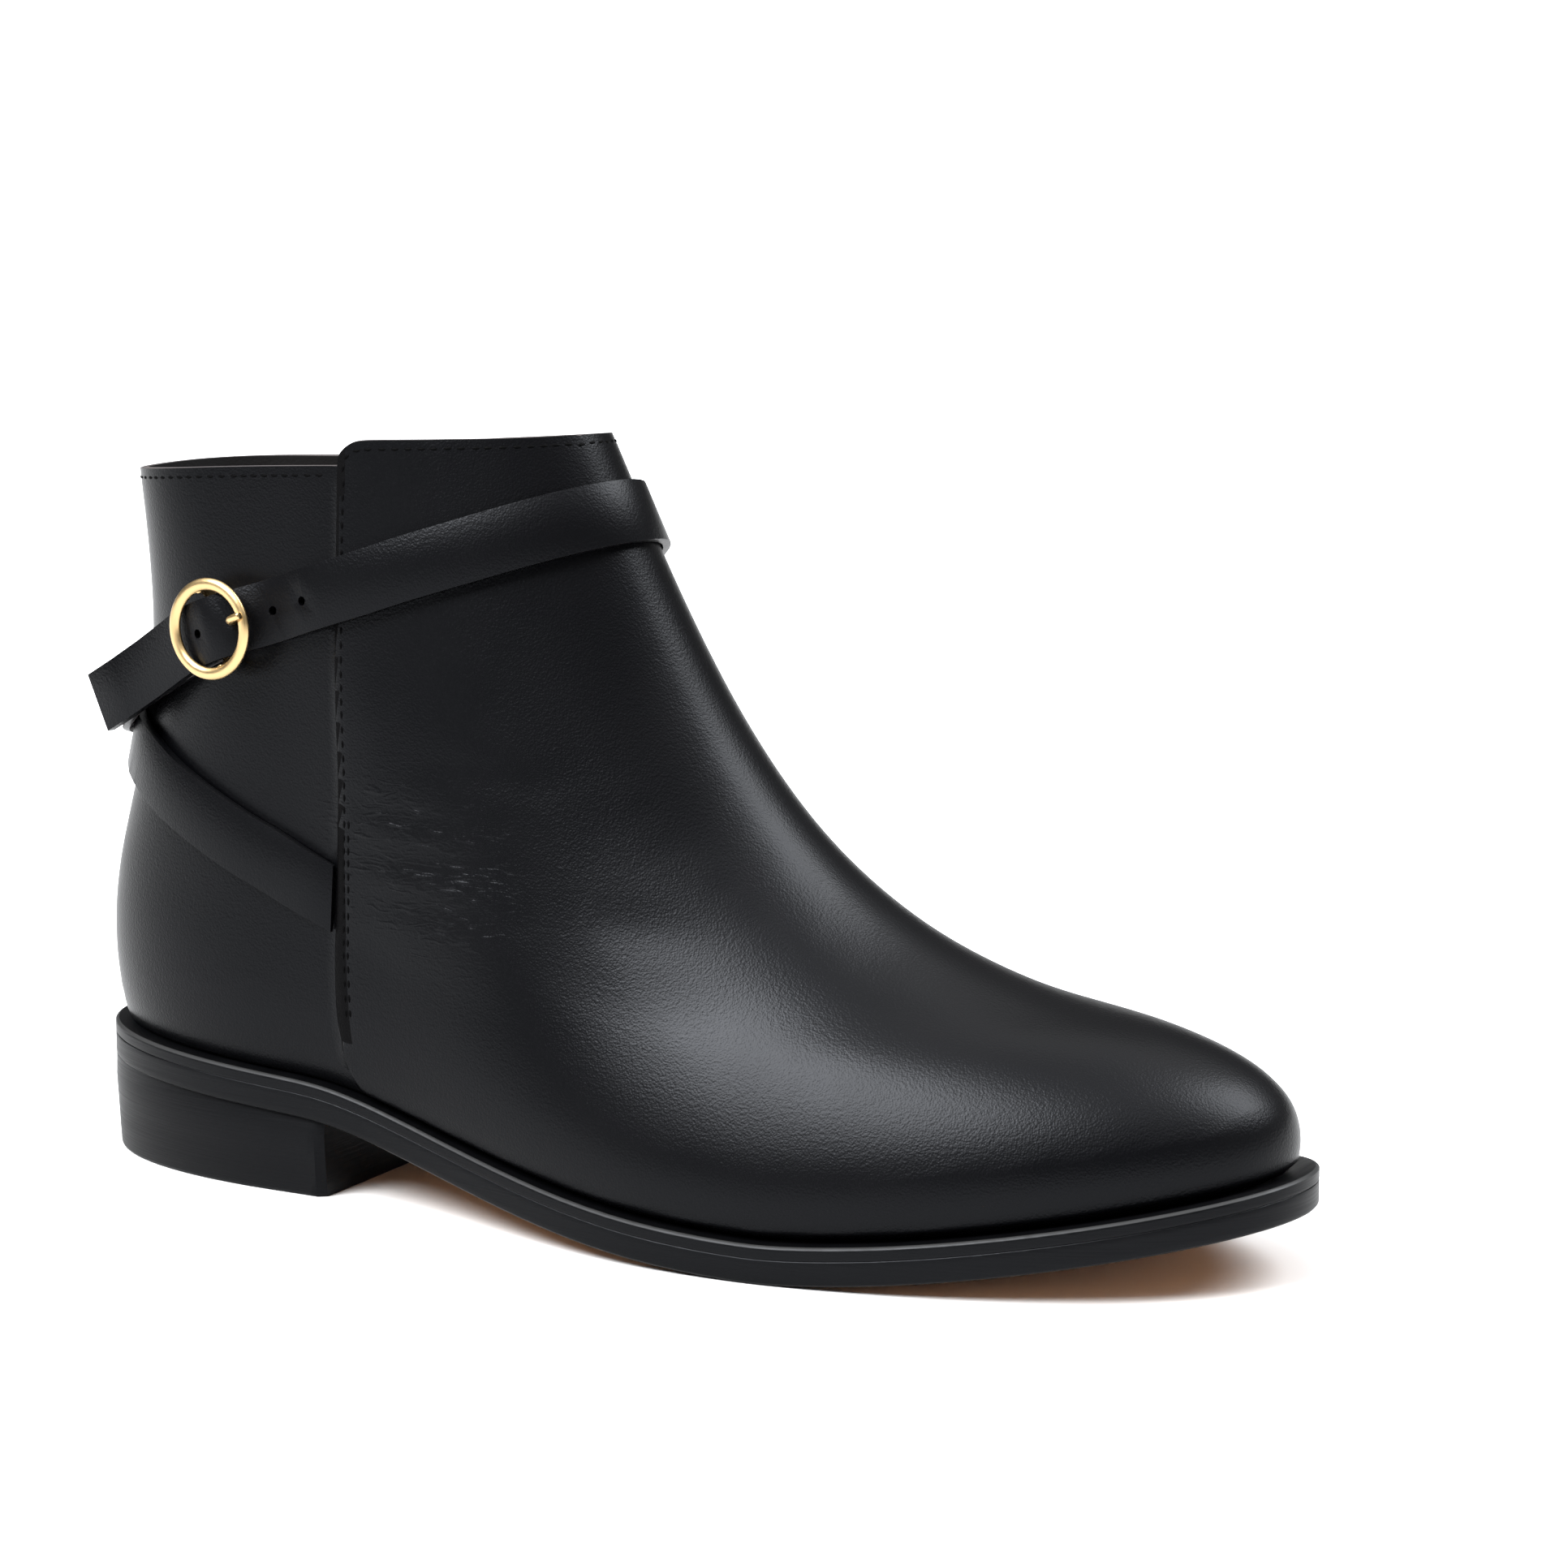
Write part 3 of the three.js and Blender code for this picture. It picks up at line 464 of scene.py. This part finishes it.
rows = (
    stitch_row(panel_line, first_row, row_foot)
    + stitch_row(quarter_line[::-1], collar_row)
    + stitch_row(panel_line[:len(panel_line) // 2], second_row, row_foot, second_row_top)
    + stitch_row(panel_line[len(panel_line) // 2:], second_row, row_foot, second_row_top)
)
bpy.ops.object.select_all(action="DESELECT")
for copy in rows:
    bpy.context.scene.collection.objects.link(copy)
    copy.select_set(True)
bpy.context.view_layer.objects.active = rows[0]
bpy.data.objects.remove(stitch)
bpy.ops.object.join()
stitching = bpy.context.object
stitching.name = "stitching"
bpy.ops.object.shade_smooth()
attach(stitching, "root")

# Straps: two flat straps of the same calf, cut square, with dressed edges and punched holes.
# Each is sewn into a side seam, and they cross behind the heel and meet at the buckle.
strap_edge = 0.35 * MM
for node, name in (("ankle_strap", "ankle_strap_calf"), ("buckle_strap", "buckle_strap_calf")):
    strap = node_copy(node, name)
    strap.data.materials.append(calf)
    strap.data.materials.append(raw_edge)
    edges = strap.modifiers.new("dressed edges", "BEVEL")
    edges.width = strap_edge
    edges.segments = 2
    edges.limit_method = "ANGLE"
    edges.angle_limit = math.radians(50)
    edges.material = 1
    work_on(strap)
    bpy.ops.object.modifier_apply(modifier=edges.name)
    bpy.ops.object.shade_smooth_by_angle(angle=smooth_angle)
    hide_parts(node)
    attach(strap, "root")

# Outsole, welt and heel: leather, their edges trimmed together, dyed black and waxed.
# The sole is natural tan underneath, and the welt's upward-facing top corner is a paler grey.


def dressed_edge(name, colour, roughness):
    """Black dressed leather with fine scratches along the edge."""
    material, nodes, shader = start_material(name)
    link = material.node_tree.links.new
    shader.inputs["Base Color"].default_value = (*colour, 1)
    shader.inputs["Specular IOR Level"].default_value = 0.11
    shader.inputs["Specular Tint"].default_value = cool_tint
    stretch = nodes.new("ShaderNodeMapping")
    stretch.inputs["Scale"].default_value = (40, 40, 2600)
    link(nodes.new("ShaderNodeTexCoord").outputs["Object"], stretch.inputs["Vector"])
    scratches = nodes.new("ShaderNodeTexNoise")
    scratches.inputs["Scale"].default_value = 1
    scratches.inputs["Detail"].default_value = 5
    link(stretch.outputs["Vector"], scratches.inputs["Vector"])
    relief = nodes.new("ShaderNodeBump")
    relief.inputs["Strength"].default_value = 0.5
    relief.inputs["Distance"].default_value = 0.1 * MM
    link(scratches.outputs["Fac"], relief.inputs["Height"])
    link(relief.outputs["Normal"], shader.inputs["Normal"])
    gloss = nodes.new("ShaderNodeMapRange")
    gloss.inputs["To Min"].default_value = roughness - 0.08
    gloss.inputs["To Max"].default_value = roughness + 0.14
    link(scratches.outputs["Fac"], gloss.inputs["Value"])
    link(gloss.outputs["Result"], shader.inputs["Roughness"])
    return material


black_edge = dressed_edge("black dressed edge", (0.0008, 0.0008, 0.001), 0.4)
# A paler grey for the welt's faces that turn upwards at its top corner.
paler_top_corner = dressed_edge("paler top corner", (0.02, 0.02, 0.02), 0.4)
tan_sole = leather("natural sole leather", (0.3, 0.17, 0.08), 0.55, 0.4, 0.9, 0.03, 0.1)
sole_joint = 0.5 * MM
paler_top_slot, tan_slot = 1, 2
for node, name, raised in (
    ("welt", "welt_leather", 0),
    ("outsole", "outsole_leather", sole_joint),
    ("heel", "heel_stack", 1.4 * sole_joint),
):
    layer = node_copy(node, name)
    for material in (black_edge, paler_top_corner, tan_sole):
        layer.data.materials.append(material)
    top_points = set()
    for face in layer.data.polygons:
        if face.normal.z > faces_up:
            top_points.update(face.vertices)
        elif node == "welt" and face.normal.z > 0.35:
            face.material_index = paler_top_slot
        elif node == "outsole" and face.normal.z < -0.85:
            face.material_index = tan_slot
    bevel_points = {
        i for face in layer.data.polygons for i in face.vertices
        if 0.2 < face.normal.z <= faces_up and top_points & set(face.vertices)
    }
    for i in top_points | bevel_points:
        layer.data.vertices[i].co.z += raised
    crease_sharp(layer, 25, 0.9)
    apply_smoothing(layer, 2)
    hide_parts(node)
    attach(layer, "root")

# Insole: a thin leather board under the foot, covered with the dark lining leather.
insole = node_copy("insole", "insole_leather")
insole.data.materials.append(lining)
crease_sharp(insole, 30, 0.85)
apply_smoothing(insole, 1)
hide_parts("insole")
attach(insole, "root")

# Buckle: a round ring with a centre bar, cast in brass and plated pale gold, and its prong.
# Smoothing draws a thin ring in, so its surface is moved out again by the same amount.
brass, brass_nodes, brass_shader = start_material("satin pale gold")
brass_shader.inputs["Base Color"].default_value = (0.6, 0.43, 0.21, 1)
brass_shader.inputs["Metallic"].default_value = 1
brushed = brass_nodes.new("ShaderNodeTexNoise")
brushed.inputs["Scale"].default_value = 900
brushed.inputs["Detail"].default_value = 3
brass.node_tree.links.new(
    brass_nodes.new("ShaderNodeTexCoord").outputs["Object"], brushed.inputs["Vector"])
satin = brass_nodes.new("ShaderNodeMapRange")
satin.inputs["To Min"].default_value = 0.24
satin.inputs["To Max"].default_value = 0.4
brass.node_tree.links.new(brushed.outputs["Fac"], satin.inputs["Value"])
brass.node_tree.links.new(satin.outputs["Result"], brass_shader.inputs["Roughness"])
for node, name in (("buckle_frame", "buckle_ring"), ("buckle_prong", "buckle_tongue")):
    part = node_copy(node, name)
    part.data.materials.append(brass)
    crease_sharp(part, 50, 0.3)
    apply_smoothing(part, 2)
    fuller = part.modifiers.new("fuller", "DISPLACE")
    fuller.mid_level = 0
    fuller.strength = 0.18 * MM
    work_on(part)
    bpy.ops.object.modifier_apply(modifier=fuller.name)
    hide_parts(node)
    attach(part, "root")
